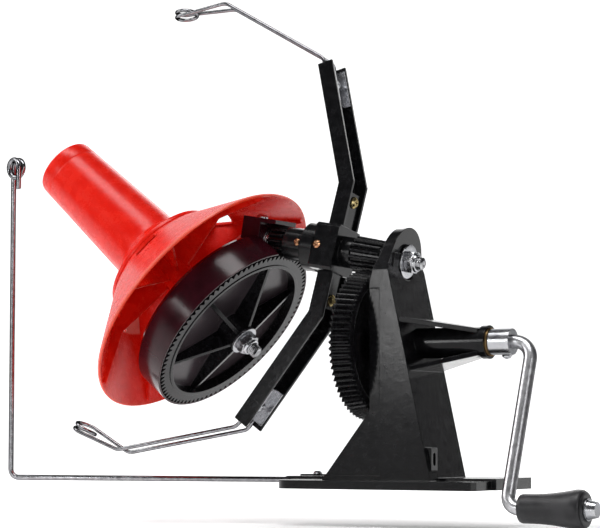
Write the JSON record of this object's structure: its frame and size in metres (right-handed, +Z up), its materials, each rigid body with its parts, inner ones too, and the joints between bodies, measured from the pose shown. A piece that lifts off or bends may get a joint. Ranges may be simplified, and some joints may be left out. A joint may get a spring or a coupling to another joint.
{
  "type": "yarn ball winder",
  "caption": "Hand-cranked yarn ball winder: bevel gears turn a two-armed wire-guide flyer round a tilted red flanged bobbin on a table-top stand.",
  "frame": {"origin": "on the foot's flat underside, below the head of the column", "axes": "+X towards the crank handle, +Y towards the yarn guide's socket, +Z up"},
  "size_m": [0.5429, 0.215, 0.4166],
  "materials": {
    "black_gloss": "glossy moulded black nylon",
    "gear_black": "glossy moulded black nylon",
    "grip_black": "satin dark grey plastic",
    "red_gloss": "glossy translucent red plastic",
    "shaft_steel": "bright drawn steel",
    "crank_steel": "satin zinc or nickel plate",
    "bush_bronze": "plain bronze bush",
    "copper_screw": "copper-coloured screw",
    "wire_steel": "bright plated wire",
    "zinc": "bright zinc plate"
  },
  "bodies": {
    "stand": {"stand": "black_gloss", "main_shaft": "shaft_steel", "shaft_washer": "zinc", "shaft_nut": "zinc", "thrust_washers": "zinc", "bobbin_housing": "black_gloss", "housing_screw": "zinc", "bobbin_bush": "bush_bronze", "crank_bush_inner": "bush_bronze", "crank_bush_outer": "bush_bronze", "guide_screw": "zinc"},
    "crank": {"crank_rod": "crank_steel", "drive_gear": "gear_black", "gear_washer": "zinc", "gear_nut": "zinc", "crank_collar": "crank_steel", "collar_screw": "zinc", "grip_washer": "zinc", "grip_nut": "zinc"},
    "grip": {"grip": "grip_black"},
    "flyer": {"flyer_hub": "black_gloss", "flyer_bush_inner": "bush_bronze", "flyer_bush_outer": "bush_bronze", "flyer_pinion": "gear_black", "small_pinion": "gear_black", "hub_collar": "black_gloss", "hub_screws": "copper_screw", "upper_arm": "black_gloss", "lower_arm": "black_gloss", "arm_screws": "copper_screw", "upper_clip": "zinc", "lower_clip": "zinc", "clip_screws": "zinc", "upper_guide": "wire_steel", "lower_guide": "wire_steel"},
    "bobbin": {"bobbin_gear": "gear_black", "bobbin_shaft": "shaft_steel", "gear_end_washer": "zinc", "gear_end_nut": "zinc", "cone_washer": "zinc", "cone_nut": "zinc", "bobbin_cone": "red_gloss"},
    "yarn_guide": {"yarn_guide": "wire_steel"}
  },
  "joints": [
    {"name": "crank_turn", "type": "hinge", "parent": "stand", "child": "crank", "pos_m": [0, 0, 0.109], "axis": [1, 0, 0], "continuous": true},
    {"name": "grip_spin", "type": "hinge", "parent": "crank", "child": "grip", "pos_m": [0.12, -0.0487, -0.01153], "axis": [1, 0, 0], "continuous": true},
    {"name": "flyer_turn", "type": "hinge", "parent": "stand", "child": "flyer", "pos_m": [0, 0, 0.1724], "axis": [0.9848, 0, -0.1736], "continuous": true},
    {"name": "bobbin_turn", "type": "hinge", "parent": "stand", "child": "bobbin", "pos_m": [-0.2606, 0, 0.21835], "axis": [0.7627, 0, -0.6468], "continuous": true},
    {"name": "yarn_guide_swing", "type": "hinge", "parent": "stand", "child": "yarn_guide", "pos_m": [-0.1044, 0.037, 0.005], "axis": [0.9857, 0.1685, 0], "range_deg": [-80, 80]}
  ],
  "couplings": [
    {"joint": "flyer_turn", "follows": "crank_turn", "ratio": -4.5},
    {"joint": "bobbin_turn", "follows": "crank_turn", "ratio": 0.71591}
  ]
}
